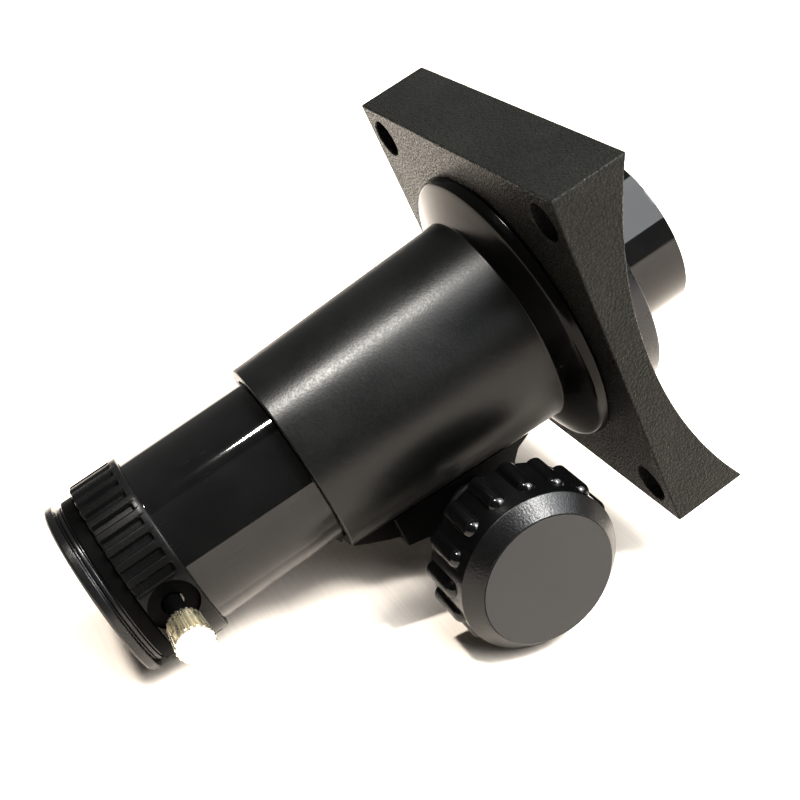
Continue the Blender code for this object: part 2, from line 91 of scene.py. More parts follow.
def easeCorners(points, radius, steps=3):
    # each corner of a turned profile gives way to a small curve
    eased, count = [], len(points)
    for k, point in enumerate(points):
        here = Vector(point)
        before, after = Vector(points[k - 1]) - here, Vector(points[(k + 1) % count]) - here
        short = min(before.length, after.length)
        onAxis = here.y < 1e-6
        if radius <= 0 or onAxis or short < 1e-6 or before.angle(after) > math.radians(170):
            eased.append(tuple(here))
            continue
        start = here + before.normalized() * min(radius, before.length * 0.45)
        end = here + after.normalized() * min(radius, after.length * 0.45)
        for step in range(steps + 1):
            t = step / steps
            eased.append(tuple(start.lerp(here, t).lerp(here.lerp(end, t), t)))
    return eased


def flowThrough(points, steps=4):
    # a smooth line through every point, for a moulded curve
    flowing = []
    for k in range(len(points) - 1):
        a, b = Vector(points[max(k - 1, 0)]), Vector(points[k])
        c, d = Vector(points[k + 1]), Vector(points[min(k + 2, len(points) - 1)])
        for step in range(steps):
            t = step / steps
            p = 0.5 * (2 * b + (c - a) * t + (2 * a - 5 * b + 4 * c - d) * t ** 2
                       + (3 * b - a - 3 * c + d) * t ** 3)
            flowing.append(tuple(p))
    return flowing + [tuple(points[-1])]


def onRing(axis, along, radius, angle):
    c, s = radius * math.cos(angle), radius * math.sin(angle)
    return {"X": (along, c, s), "Y": (c, along, s), "Z": (c, s, along)}[axis]


def lathe(axis, profile, steps, ease):
    # a closed profile of (along, radius) turned round an axis
    bm = bmesh.new()
    rings = []
    for along, radius in easeCorners(profile, ease):
        count = steps if radius > 1e-6 else 1
        rings.append([bm.verts.new(onRing(axis, along, radius, 2 * math.pi * k / steps))
                      for k in range(count)])
    for here, there in zip(rings, rings[1:] + rings[:1]):
        for k in range(steps):
            n = (k + 1) % steps
            loop = [here[k % len(here)], here[n % len(here)],
                    there[n % len(there)], there[k % len(there)]]
            corners = list(dict.fromkeys(loop))
            if len(corners) > 2:
                bm.faces.new(corners)
    return bm


def skin(sections):
    # closed loops joined one to the next, with both ends filled
    bm = bmesh.new()
    loops = [[bm.verts.new(p) for p in section] for section in sections]
    count = len(loops[0])
    for here, there in zip(loops, loops[1:]):
        for k in range(count):
            n = (k + 1) % count
            bm.faces.new((here[k], here[n], there[n], there[k]))
    for loop in (loops[0], loops[-1]):
        bm.faces.new(loop)
    return bm


def pushOut(outline, low, high):
    # an outline in (y, z), pushed along X
    return skin([[(low, y, z) for y, z in outline], [(high, y, z) for y, z in outline]])


def bar(low, high):
    (x0, y0, z0), (x1, y1, z1) = low, high
    return pushOut([(y0, z0), (y1, z0), (y1, z1), (y0, z1)], x0, x1)


def pin(axis, low, high, radius, steps=48, at=(0, 0, 0)):
    bm = lathe(axis, [(low, 0), (low, radius), (high, radius), (high, 0)], steps, 0)
    bmesh.ops.translate(bm, vec=at, verts=bm.verts)
    return bm


def looseObject(bm):
    bmesh.ops.recalc_face_normals(bm, faces=bm.faces)
    mesh = bpy.data.meshes.new("loose")
    bm.to_mesh(mesh)
    bm.free()
    thing = bpy.data.objects.new("loose", mesh)
    bpy.context.collection.objects.link(thing)
    return thing


def carve(bm, *tools, how="DIFFERENCE"):
    shape = looseObject(bm)
    helpers = [looseObject(tool) for tool in tools]
    for helper in helpers:
        step = shape.modifiers.new("carve", "BOOLEAN")
        step.operation, step.solver, step.object = how, "EXACT", helper
    graph = bpy.context.evaluated_depsgraph_get()
    carved = bpy.data.meshes.new_from_object(shape.evaluated_get(graph))
    result = bmesh.new()
    result.from_mesh(carved)
    for thing in (shape, *helpers):
        bpy.data.objects.remove(thing)
    bpy.data.meshes.remove(carved)
    return result


def softenEdges(bm, width, angle=35.0):
    bmesh.ops.recalc_face_normals(bm, faces=bm.faces)
    sharp = [e for e in bm.edges
             if len(e.link_faces) == 2 and e.calc_face_angle() > math.radians(angle)]
    bmesh.ops.bevel(bm, geom=sharp, offset=width, offset_type="OFFSET", segments=3,
                    profile=0.5, affect="EDGES", clamp_overlap=True)
    return bm


def addPiece(name, bm, finishes, body, stands, at=focuserFrame, keepSharp=38.0):
    bmesh.ops.remove_doubles(bm, verts=bm.verts, dist=1e-4)
    bmesh.ops.recalc_face_normals(bm, faces=bm.faces)
    bmesh.ops.scale(bm, vec=(mm, mm, mm), verts=bm.verts)
    bmesh.ops.transform(bm, matrix=at, verts=bm.verts)
    mesh = bpy.data.meshes.new(name)
    bm.to_mesh(mesh)
    bm.free()
    mesh.shade_smooth()
    mesh.set_sharp_from_angle(angle=math.radians(keepSharp))
    for finish in finishes:
        mesh.materials.append(finish)
    piece = bpy.data.objects.new(name, mesh)
    bpy.context.collection.objects.link(piece)
    even = piece.modifiers.new("even shading", "WEIGHTED_NORMAL")
    even.keep_sharp = True
    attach(piece, body)
    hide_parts(*stands)
    return piece


# finishes, each as its own recipe

def addNode(tree, kind, settings=None, feeds=None):
    made = tree.nodes.new("ShaderNode" + kind)
    for key, value in (settings or {}).items():
        setattr(made, key, value)
    for key, value in (feeds or {}).items():
        if isinstance(value, bpy.types.NodeSocket):
            tree.links.new(value, made.inputs[key])
        else:
            made.inputs[key].default_value = value
    return made


def mathNode(tree, operation, a, b=0.0, clamp=False):
    kind = {"operation": operation, "use_clamp": clamp}
    return addNode(tree, "Math", kind, {0: a, 1: b}).outputs[0]


def spread(tree, value, low, high, newLow, newHigh):
    feeds = {"Value": value, "From Min": low, "From Max": high, "To Min": newLow, "To Max": newHigh}
    return addNode(tree, "MapRange", {"interpolation_type": "SMOOTHSTEP"}, feeds).outputs[0]


def bump(tree, height, depth, under=None, invert=False):
    # a dent or grain of the given depth in millimetres, on top of the one under it
    feeds = {"Strength": 1.0, "Distance": depth * mm, "Height": height}
    if under:
        feeds["Normal"] = under
    return addNode(tree, "Bump", {"invert": invert}, feeds).outputs[0]


def blendColour(tree, amount, a, b):
    made = addNode(tree, "Mix", {"data_type": "RGBA"})
    for socket, value in ((made.inputs[0], amount), (made.inputs[6], a), (made.inputs[7], b)):
        if isinstance(value, bpy.types.NodeSocket):
            tree.links.new(value, socket)
        else:
            socket.default_value = value if not isinstance(value, tuple) else (*value, 1.0)
    return made.outputs[2]


def inMillimetres(tree, stretch=(1, 1, 1)):
    # turned level with the light path first, so that marks can run along it
    where = addNode(tree, "TexCoord").outputs["Object"]
    feeds = {"Vector": where, "Rotation": (-leanAngle, 0, 0)}
    level = addNode(tree, "Mapping", None, feeds).outputs[0]
    scale = tuple(s / mm for s in stretch)
    return addNode(tree, "Mapping", None, {"Vector": level, "Scale": scale}).outputs[0]


def cloud(tree, where, size, detail=3.0, rough=0.55):
    feeds = {"Vector": where, "Scale": 1.0 / size, "Detail": detail, "Roughness": rough}
    return addNode(tree, "TexNoise", None, feeds).outputs[0]


def edgeMask(tree, radius):
    # 0 on open faces, up to 1 along outside edges, where handling rubs the finish and where a painted
    # highlight runs along the edge
    softened = addNode(tree, "Bevel", {"samples": 4}, {"Radius": radius * mm}).outputs[0]
    straight = addNode(tree, "NewGeometry").outputs["Normal"]
    dot = addNode(tree, "VectorMath", {"operation": "DOT_PRODUCT"}, {0: softened, 1: straight})
    return spread(tree, dot.outputs["Value"], 0.995, 0.90, 0.0, 1.0)


def slideMarks(tree, where, strength):
    # fine marks along the slide, in scattered patches
    marks = spread(tree, cloud(tree, inMillimetres(tree, (5.0, 0.22, 5.0)), 1.0, 2.0, 0.5),
                   0.68, 0.72, 0.0, 1.0)
    patches = spread(tree, cloud(tree, where, 9.0), 0.5, 0.6, 0.0, 1.0)
    return mathNode(tree, "MULTIPLY", mathNode(tree, "MULTIPLY", marks, patches), strength)


def dustSpecks(tree, where, share):
    # one speck in each cell of a loose pattern, and only in the given share of the cells
    biggest, cells = 0.075, 0.55    # reach of a speck inside its cell, and cells to a millimetre
    speck = addNode(tree, "TexVoronoi", None, {"Vector": where, "Scale": cells, "Randomness": 1.0})
    chance = addNode(tree, "SeparateColor", None, {"Color": speck.outputs["Color"]}).outputs[0]
    size = mathNode(tree, "MULTIPLY", chance, biggest)
    size = mathNode(tree, "SUBTRACT", size, biggest * (1 - share))
    return mathNode(tree, "LESS_THAN", speck.outputs["Distance"], size)


finishBase = {
    "metal": 0.0, "ior": 1.5, "sheen": 0.0, "soft": 0.0, "tint": None, "smudgeSize": 14.0,
    "roughSpread": 0.05, "roughGrain": 0.025,                             # uneven gloss
    "grain": 0.3, "grainDepth": 0.0, "coarse": 0.0, "coarseDepth": 0.0,   # texture, in millimetres
    "streak": None, "streakDepth": 0.0,                                   # tool marks
    "dust": 0.0, "rubAndGlint": 0.0, "scratch": 0.0,                              # wear; the rubbed edges are also a painted highlight
    "dustColour": (0.42, 0.41, 0.39), "scratchColour": (0.05, 0.05, 0.05),
}


def makeFinish(name, recipe):
    look = {**finishBase, **recipe}
    finish = bpy.data.materials.new(name)
    finish.use_nodes = True
    tree = finish.node_tree
    shader = tree.nodes["Principled BSDF"]
    where = inMillimetres(tree)
    smudge = cloud(tree, where, look["smudgeSize"], 4.0)
    fine = cloud(tree, where, look["grain"], 4.0, 0.6)

    tint = look["tint"] or tuple(1.35 * c for c in look["colour"])
    colour = blendColour(tree, spread(tree, smudge, 0.35, 0.68, 0.0, 1.0), look["colour"], tint)
    rough = spread(tree, smudge, 0.3, 0.7, look["rough"] - look["roughSpread"],
                   look["rough"] + look["roughSpread"])
    rough = mathNode(tree, "ADD", rough,
                     spread(tree, fine, 0.35, 0.65, -look["roughGrain"], look["roughGrain"]))

    height = None
    if look["grainDepth"]:
        height = bump(tree, fine, look["grainDepth"])
    if look["coarseDepth"]:
        feeds = {"Vector": where, "Scale": 1.0 / look["coarse"], "Smoothness": 0.6, "Randomness": 1.0}
        pebble = addNode(tree, "TexVoronoi", {"feature": "SMOOTH_F1"}, feeds).outputs["Distance"]
        height = bump(tree, pebble, look["coarseDepth"], height, invert=True)
        # painted shade: the colour is darkened in the hollows between the pebbles
        colour = blendColour(tree, spread(tree, pebble, 0.1, 0.7, 0.0, 0.5), colour,
                             tuple(0.45 * c for c in look["colour"]))
    if look["streak"]:
        lines = cloud(tree, inMillimetres(tree, look["streak"]), 1.0, 5.0, 0.7)
        height = bump(tree, lines, look["streakDepth"], height)
        rough = mathNode(tree, "ADD", rough, spread(tree, lines, 0.55, 0.75, 0.0, 0.08))
    if look["scratch"]:
        colour = blendColour(tree, slideMarks(tree, where, look["scratch"]), colour,
                             look["scratchColour"])
    if look["dust"]:
        near = dustSpecks(tree, where, look["dust"])
        colour = blendColour(tree, mathNode(tree, "MULTIPLY", near, 0.5), colour, look["dustColour"])
        rough = mathNode(tree, "ADD", rough, mathNode(tree, "MULTIPLY", near, 0.4), True)
    # rubbed edges: real wear, and partly a painted highlight laid along the edges as a lighter colour
    if look["rubAndGlint"]:
        wornAndGlint = mathNode(tree, "MULTIPLY", edgeMask(tree, 0.35),
                        spread(tree, smudge, 0.35, 0.65, 0.3, 1.0))
        rubbedAndGlintColour = tuple(min(1.0, c * 2.2 + 0.02) for c in look["colour"])
        colour = blendColour(tree, mathNode(tree, "MULTIPLY", wornAndGlint, look["rubAndGlint"]), colour, rubbedAndGlintColour)
    tree.links.new(colour, shader.inputs["Base Color"])
    tree.links.new(rough, shader.inputs["Roughness"])
    if height:
        tree.links.new(height, shader.inputs["Normal"])
    shader.inputs["Metallic"].default_value = look["metal"]
    shader.inputs["IOR"].default_value = look["ior"]
    shader.inputs["Sheen Weight"].default_value = look["sheen"]
    shader.inputs["Subsurface Weight"].default_value = look["soft"]
    shader.inputs["Subsurface Radius"].default_value = (0.001, 0.0008, 0.0006)
    finish.diffuse_color = (*look["colour"], 1.0)
    return finish


pebbledBlack = makeFinish("pebbledBlack", {
    "colour": (0.0125, 0.0128, 0.0116), "rough": 0.32, "roughSpread": 0.03, "roughGrain": 0.26,
    "grain": 0.40, "grainDepth": 0.16, "coarse": 0.55, "coarseDepth": 0.20, "dust": 0.10,
    "rubAndGlint": 0.5, "ior": 1.22})
satinBlack = makeFinish("satinBlack", {
    "colour": (0.0042, 0.0045, 0.0043), "rough": 0.33, "roughSpread": 0.02, "grain": 0.55,
    "grainDepth": 0.020, "dust": 0.05, "rubAndGlint": 0.3, "ior": 1.38})
flangeBlack = makeFinish("flangeBlack", {
    "colour": (0.0030, 0.0030, 0.0029), "rough": 0.18, "roughSpread": 0.03, "grain": 0.5,
    "grainDepth": 0.004, "dust": 0.05, "rubAndGlint": 0.3, "ior": 1.26})
boxBlack = makeFinish("boxBlack", {
    "colour": (0.0026, 0.0026, 0.0027), "rough": 0.34, "roughSpread": 0.03, "grain": 0.5,
    "grainDepth": 0.012, "dust": 0.06, "rubAndGlint": 0.25, "ior": 1.24})
glossBlack = makeFinish("glossBlack", {
    "colour": (0.0052, 0.0052, 0.0053), "rough": 0.048, "roughSpread": 0.006, "roughGrain": 0.003,
    "grain": 1.6, "grainDepth": 0.0001, "dust": 0.06, "scratch": 0.2, "ior": 1.40})
castBlack = makeFinish("castBlack", {
    "colour": (0.0052, 0.0052, 0.0053), "rough": 0.27, "roughSpread": 0.04, "grain": 0.5,
    "grainDepth": 0.005, "dust": 0.06, "rubAndGlint": 0.2, "ior": 1.42})
ribBlack = makeFinish("ribBlack", {
    "colour": (0.0062, 0.0062, 0.0062), "rough": 0.25, "roughSpread": 0.04, "grain": 0.5,
    "grainDepth": 0.005, "dust": 0.06, "rubAndGlint": 0.15, "ior": 1.22})
knobBlack = makeFinish("knobBlack", {
    "colour": (0.0035, 0.0035, 0.0038), "rough": 0.15, "roughSpread": 0.04, "grain": 0.7,
    "grainDepth": 0.008, "dust": 0.05, "rubAndGlint": 0.2, "ior": 1.4})
grainedChamfer = makeFinish("grainedChamfer", {
    "colour": (0.0045, 0.0045, 0.0048), "rough": 0.33, "roughSpread": 0.03, "grain": 0.24,
    "grainDepth": 0.022, "coarse": 0.45, "coarseDepth": 0.035, "rubAndGlint": 0.2, "ior": 1.38})
satinGrey = makeFinish("satinGrey", {
    "colour": (0.0165, 0.017, 0.0178), "tint": (0.018, 0.0185, 0.0195), "rough": 0.38,
    "roughSpread": 0.015, "grain": 0.2, "grainDepth": 0.004, "dust": 0.12, "ior": 1.365})
ringBlack = makeFinish("ringBlack", {
    "colour": (0.010, 0.010, 0.011), "rough": 0.28, "roughSpread": 0.04, "grain": 0.4,
    "grainDepth": 0.006, "dust": 0.05, "rubAndGlint": 0.3, "ior": 1.4})
nickelPlate = makeFinish("nickelPlate", {
    "colour": (0.97, 0.91, 0.76), "tint": (0.93, 0.86, 0.68), "metal": 1.0, "rough": 0.30,
    "roughSpread": 0.05, "grain": 0.4, "grainDepth": 0.002, "smudgeSize": 3.0})
brightSteel = makeFinish("brightSteel", {
    "colour": (0.58, 0.57, 0.56), "tint": (0.50, 0.49, 0.48), "metal": 1.0, "rough": 0.26,
    "roughSpread": 0.06, "grain": 0.3, "grainDepth": 0.003, "streak": (6.0, 1.0, 1.0),
    "streakDepth": 0.004, "smudgeSize": 5.0})
cutBrass = makeFinish("cutBrass", {
    "colour": (0.72, 0.53, 0.25), "tint": (0.60, 0.42, 0.19), "metal": 1.0, "rough": 0.28,
    "roughSpread": 0.06, "grain": 0.3, "grainDepth": 0.004, "streak": (0.4, 5.0, 0.4),
    "streakDepth": 0.005, "smudgeSize": 6.0})
whiteNylon = makeFinish("whiteNylon", {
    "colour": (0.74, 0.72, 0.66), "rough": 0.45, "grain": 0.4, "grainDepth": 0.006, "soft": 0.15})
blackNylon = makeFinish("blackNylon", {
    "colour": (0.012, 0.012, 0.012), "rough": 0.42, "grain": 0.4, "grainDepth": 0.006})
matteLiner = makeFinish("matteLiner", {
    "colour": (0.018, 0.018, 0.018), "rough": 0.75, "grain": 0.25, "grainDepth": 0.03, "sheen": 0.2})
# painted shade: a near-black colour for the screw pocket, the holder's neck and the screw's shank,
# which lie in shade
paintedShadeBlack = makeFinish("paintedShadeBlack", {
    "colour": (0.0026, 0.0026, 0.0026), "rough": 0.5, "grain": 0.3, "grainDepth": 0.01, "ior": 1.12})
print("finishes ready")


# saddle plate: flat front, back hollowed to the telescope tube

plate = {
    "side": 80.0, "web": 6.75, "tubeRadius": 86.6, "edgeRound": 0.4,
    "bore": 25.05, "ringSeat": 29.35, "ringSeatY": 3.1, "holePitch": 66.2, "holeRadius": 4.15,
    "mouthEase": 0.25,
}


def throughHole(radius, steps):
    # straight through the plate, with its front mouth eased by a countersink
    ease, far = plate["mouthEase"], 40.0
    return lathe("Y", [(-5, 0), (-5, radius + 5 + ease), (ease, radius), (far, radius), (far, 0)],
                 steps, 0)


def makeSaddlePlate():
    half = plate["side"] / 2
    reach = math.asin(half / plate["tubeRadius"])
    centreY = plate["web"] + plate["tubeRadius"]
    outline = [(0.0, -half), (0.0, half)]
    arcSteps = 96
    for k in range(arcSteps + 1):
        a = reach * (1 - 2 * k / arcSteps)
        outline.append((centreY - plate["tubeRadius"] * math.cos(a),
                        plate["tubeRadius"] * math.sin(a)))
    bm = softenEdges(pushOut(outline, -half, half), plate["edgeRound"])
    tools = [throughHole(plate["bore"], boreSteps),
             pin("Y", plate["ringSeatY"], 40, plate["ringSeat"], boreSteps)]
    for sx in (-1, 1):
        for sz in (-1, 1):
            hole = throughHole(plate["holeRadius"], 56)
            spot = (sx * plate["holePitch"] / 2, 0, sz * plate["holePitch"] / 2)
            bmesh.ops.translate(hole, vec=spot, verts=hole.verts)
            tools.append(hole)
    addPiece("saddlePlate", carve(bm, *tools), [pebbledBlack], "housing",
             ["saddle_plate"], keepSharp=32.0)


makeSaddlePlate()
print("saddle plate done")


# focuser body: tapered housing, flange and the threaded end behind the plate

body = {
    "tipY": -57.4, "tipRadius": 21.7, "rootRadius": 23.9, "rootY": -5.6,
    "guide": 19.15, "linerSeat": 20.2, "spigot": 24.7, "spigotEndY": 14.6,
    "flange": [(-5.6, 23.9), (-4.9, 25.65), (-4.2, 27.4), (-3.5, 29.1), (-2.8, 30.8),
               (-2.4, 31.4), (-1.7, 31.75)],
    "screwX": 8.8, "screwY": (-36.6, -26.4), "screwHole": 1.35,
    "padY": -47.5, "padHole": 2.6, "slotHalf": 4.7, "slotAboveShaft": 3.5,
    "pinionRoom": (5.3, 6.4),    # half its width, and its reach each way from the shaft
}
lockRing = {"fromY": 3.4, "toY": 15.5, "inside": 25.0, "outside": 29.0, "edgeRound": 0.55}


def housingRadius(y):
    t = (y - body["tipY"]) / (body["rootY"] - body["tipY"])
    return body["tipRadius"] + (body["rootRadius"] - body["tipRadius"]) * t


def coverScrewSpots():
    return [(sx * body["screwX"], y, 0) for sx in (-1, 1) for y in body["screwY"]]


def makeBody():
    tip, guide, seat, end = body["tipY"], body["guide"], body["linerSeat"], body["spigotEndY"]
    profile = [(tip, body["tipRadius"])]
    profile += flowThrough(body["flange"])
    profile += [    # flange edge, threaded end, then the bore with a seat for each liner
        (-0.5, 32.1), (-0.3, 31.9), (-0.3, body["spigot"]), (end, body["spigot"]), (end, guide),
        (13.2, guide), (13.2, seat), (3.2, seat), (3.2, guide + 0.45), (-45.0, guide + 0.45),
        (-45.0, seat), (-56.2, seat), (-56.2, guide), (tip, guide),
    ]
    slot, drop = body["slotHalf"], layout["shaftDrop"] - body["slotAboveShaft"]
    half, room = body["pinionRoom"]
    shaftY = layout["shaftY"]
    tools = [
        bar((-slot, -70, -drop), (slot, 40, -17)),
        bar((-half, shaftY - room, -30), (half, shaftY + room, -17)),
        pin("Z", -30, -18.5, body["padHole"], 40, (0, body["padY"], 0)),
    ]
    tools += [pin("Z", -30, -19.0, body["screwHole"], holeSteps, spot) for spot in coverScrewSpots()]
    bm = carve(lathe("Y", profile, fineSteps, 0.3), *tools)
    for f in bm.faces:
        at = f.calc_center_median()
        onFlange = body["rootY"] - 0.02 < at.y < 0
        if onFlange and math.hypot(at.x, at.z) > body["rootRadius"] - 0.1:
            f.material_index = 1
    addPiece("focuserBody", bm, [satinBlack, flangeBlack], "housing",
             ["focuser_body"])


def makeLockRing():
    low, high, inside, outside = (lockRing[k] for k in ("fromY", "toY", "inside", "outside"))
    profile = [(low, inside), (low, outside), (high, outside), (high, inside)]
    addPiece("rearLockRing", lathe("Y", profile, fineSteps, lockRing["edgeRound"]), [ringBlack],
             "housing", ["rear_lock_ring"])


makeBody()
makeLockRing()
print("housing done")


# pinion housing under the tapered housing, its cover and screws

pinionBox = {
    "halfWidth": 13.0, "noseHalfWidth": 9.0, "edgeRound": 0.4,
    "outline": [(-47.2, -14.0), (-47.2, -26.4), (-42.6, -27.6), (-39.8, -32.2), (-23.4, -32.2),
                (-19.4, -29.5), (-18.4, -24.4), (-16.4, -21.9), (-12.1, -19.9), (-12.1, -14.0)],
    "nose": [(-56.8, -14.0), (-56.8, -21.1), (-49.6, -25.3), (-46.0, -27.0), (-42.0, -27.0),
             (-42.0, -14.0)],
    "cover": ((-12.2, -39.4, -34.0), (12.2, -23.6, -32.5)),
    "bushingHole": 4.1, "tensionHole": 2.1, "pinionRoom": (5.4, 6.6),
}
coverScrew = [(-36.0, 0), (-36.0, 1.5), (-35.6, 2.1), (-34.3, 2.2), (-34.3, 1.05),
              (-19.5, 1.05), (-19.3, 0.8), (-19.3, 0)]
tensionScrew = [(-30.2, 0), (-30.2, 1.5), (-29.9, 1.8), (-25.6, 1.8), (-25.3, 1.5), (-25.3, 0)]
bushing = [(5.7, 2.6), (5.7, 3.75), (13.3, 3.75), (13.3, 5.2), (14.4, 5.2), (14.4, 2.6)]


def makePinionHousing():
    shaftY, shaftDrop = layout["shaftY"], layout["shaftDrop"]
    blocks = []
    for outline, wide in (("outline", "halfWidth"), ("nose", "noseHalfWidth")):
        block = pushOut(pinionBox[outline], -pinionBox[wide], pinionBox[wide])
        blocks.append(softenEdges(block, pinionBox["edgeRound"], 20.0))
    bm = carve(*blocks, how="UNION")
    gap = 0.3    # to the tapered housing above
    saddle = [(-70, 0), (-70, housingRadius(-70) + gap), (0, housingRadius(0) + gap), (0, 0)]
    slot, drop = body["slotHalf"], shaftDrop - body["slotAboveShaft"]
    half, room = pinionBox["pinionRoom"]
    tools = [
        lathe("Y", saddle, fineSteps, 0),
        bar((-slot, -70, -drop), (slot, 0, -10)),
        bar((-half, shaftY - room, -40), (half, shaftY + room, -10)),
        pin("X", -30, 30, pinionBox["bushingHole"], 56, (0, shaftY, -shaftDrop)),
        pin("Z", -40, -10, pinionBox["tensionHole"], 40, (0, body["padY"], 0)),
    ]
    tools += [pin("Z", -40, -10, body["screwHole"], holeSteps, spot) for spot in coverScrewSpots()]
    addPiece("pinionHousing", carve(bm, *tools), [boxBlack], "housing",
             ["pinion_housing"])


def makeCover():
    bm = softenEdges(bar(*pinionBox["cover"]), 0.4)
    tools = [pin("Z", -40, -30, body["screwHole"], holeSteps, spot) for spot in coverScrewSpots()]
    addPiece("pinionCover", carve(bm, *tools), [boxBlack], "housing",
             ["pinion_cover_plate"])
    for spot in coverScrewSpots():
        side = "right" if spot[0] > 0 else "left"
        where = side + ("_front" if spot[1] < layout["shaftY"] else "_rear")
        driverSlot = bar((-3, -0.3, -40), (3, 0.3, -35.3))
        screw = carve(lathe("Z", coverScrew, 48, 0.1), driverSlot)
        bmesh.ops.translate(screw, vec=spot, verts=screw.verts)
        addPiece("coverScrew_" + where, screw, [brightSteel], "housing",
                 ["cover_screw_" + where])


def makeTensionScrew():
    driverSlot = bar((-3, -0.35, -35), (3, 0.35, -29.2))
    screw = carve(lathe("Z", tensionScrew, 48, 0.08), driverSlot)
    bmesh.ops.translate(screw, vec=(0, body["padY"], 0), verts=screw.verts)
    addPiece("tensionScrew", screw, [brightSteel], "housing", ["tension_screw"])


def makeBushings():
    for sx, side in ((-1, "left"), (1, "right")):
        addPiece("shaftBushing_" + side, lathe("X", [(sx * a, r) for a, r in bushing], 72, 0.25),
                 [blackNylon], "housing", ["shaft_bushing_" + side], shaftFrame)


makePinionHousing()
makeCover()
makeTensionScrew()
makeBushings()
print("pinion housing done")


# drawtube with its rack, ribbed collar and eyepiece holder

draw = {
    "radius": 18.7, "bore": 16.9, "frontY": -97.5, "rearY": 31.1, "edgeRound": 0.36,
    "rackDrop": 18.2, "rackHalf": 4.2, "rackFrom": -59.6, "rackTo": 25.2,
    "rackScrewY": (-56.6, 20.5), "rackScrewHole": 1.25, "thumbHole": 2.35,
}
collar = {
    "top": 20.4, "root": 19.4, "bore": 18.85, "frontY": -97.3, "ribEndY": -88.5,
    "backY": -86.6, "ribs": 36, "pocket": 5.2, "pocketFloor": 19.35,
    "landFrom": -48.0, "landTo": 15.0,    # plain stretch round the thumb screw, in degrees
}
holder = {"bore": 15.95, "boreMouth": 0.4, "rimY": -104.0, "rim": 19.4, "rimRound": 0.5,
          "sleeve": 16.65, "backY": -84.0}


def thumbPin(low, high, radius, steps=64):
    bm = pin("X", low, high, radius, steps, (0, layout["thumbY"], 0))
    bmesh.ops.rotate(bm, matrix=Matrix.Rotation(-thumbLean, 3, "Y"), verts=bm.verts)
    return bm


def makeDrawtube():
    front, rear, outside, bore = draw["frontY"], draw["rearY"], draw["radius"], draw["bore"]
    tube = lathe("Y", [(front, bore), (front, outside), (rear, outside), (rear, bore)], 224,
                 draw["edgeRound"])
    half = draw["rackHalf"]
    tools = [bar((-half, draw["rackFrom"], -30), (half, draw["rackTo"], -draw["rackDrop"])),
             thumbPin(10, 30, draw["thumbHole"])]
    tools += [pin("Z", -25, -10, draw["rackScrewHole"], holeSteps, (0, y, 0))
              for y in draw["rackScrewY"]]
    addPiece("drawtube_gloss", carve(tube, *tools), [glossBlack], "draw",
             ["drawtube"])


def makeCollar():
    top, root = collar["top"], collar["root"]
    perRib, flank = 16, 0.08    # points round each rib, and the share of it that one flank takes

    def section(y, rib, gap):
        points = []
        for k in range(collar["ribs"] * perRib):
            t = (k / perRib) % 1.0
            climb = min(max((t - 0.40) / flank, 0.0), 1.0)
            fall = min(max((t - 0.92) / flank, 0.0), 1.0)
            rise = climb - fall
            rise = rise * rise * (3 - 2 * rise)
            a = 2 * math.pi * (k / perRib + 0.03) / collar["ribs"]
            past = math.degrees(math.remainder(a - thumbLean, 2 * math.pi))
            if collar["landFrom"] < past < collar["landTo"]:
                rise = 1.0
            radius = gap + (rib - gap) * rise
            points.append((radius * math.cos(a), y, radius * math.sin(a)))
        return points

    front, ribEnd, back = collar["frontY"], collar["ribEndY"], collar["backY"]
    sections = [section(front, top - 0.5, root - 0.35),
                section(front + 0.12, top - 0.24, root - 0.12),
                section(front + 0.45, top, root), section(ribEnd - 0.1, top, root),
                section(ribEnd + 0.2, top, (top + root) / 2), section(ribEnd + 0.45, top, top),
                section(back - 0.35, top, top), section(back - 0.1, top - 0.1, top - 0.1),
                section(back, top - 0.35, top - 0.35)]
    bm = carve(skin(sections), pin("Y", -110, -70, collar["bore"], boreSteps),
               thumbPin(collar["pocketFloor"], 40, collar["pocket"]),
               thumbPin(10, 30, draw["thumbHole"]))
    outward = Vector((math.cos(thumbLean), 0, math.sin(thumbLean)))
    for f in bm.faces:    # the pocket is painted near-black as shade
        at = f.calc_center_median()
        reach = at.dot(outward)
        aside = (at - outward * reach - Vector((0, layout["thumbY"], 0))).length
        if reach > 15 and aside < collar["pocket"] + 0.02:
            f.material_index = 1
    addPiece("ribbedCollar", bm, [ribBlack, paintedShadeBlack], "draw",
             ["ribbed_collar"], keepSharp=50.0)


def makeHolder():
    front, rim, bore, sleeve = holder["rimY"], holder["rim"], holder["bore"], holder["sleeve"]
    mouth, edge, back = holder["boreMouth"], holder["rimRound"], holder["backY"]
    profile = [    # rim, two grooves, neck, then the sleeve inside the drawtube and the bore
        (front, bore + mouth), (front, rim - edge), (front + edge, rim), (-102.0, rim),
        (-102.0, 17.7), (-101.5, 17.7), (-101.5, 18.2), (-100.7, 18.2), (-100.7, 17.8),
        (-100.2, 17.8), (-100.2, 18.75), (-97.5, 18.75), (-97.5, sleeve), (back, sleeve),
        (back, bore), (front + mouth, bore),
    ]
    bm = carve(lathe("Y", profile, fineSteps, 0.18), thumbPin(10, 30, draw["thumbHole"]))
    for f in bm.faces:
        if -100.3 < f.calc_center_median().y < -97.4:    # neck, painted near-black as shade
            f.material_index = 1
    addPiece("eyepieceHolder", bm, [castBlack, paintedShadeBlack], "draw",
             ["eyepiece_holder"])


makeDrawtube()
makeCollar()
makeHolder()
print("drawtube and eyepiece end done")


# thumb screw: straight-knurled head on a plain shank

thumb = {"ridges": 21, "depth": 0.42, "baseRadius": 3.5, "endRadius": 3.95,
         "from": 26.6, "to": 35.2, "shank": 1.9, "tip": 16.05}


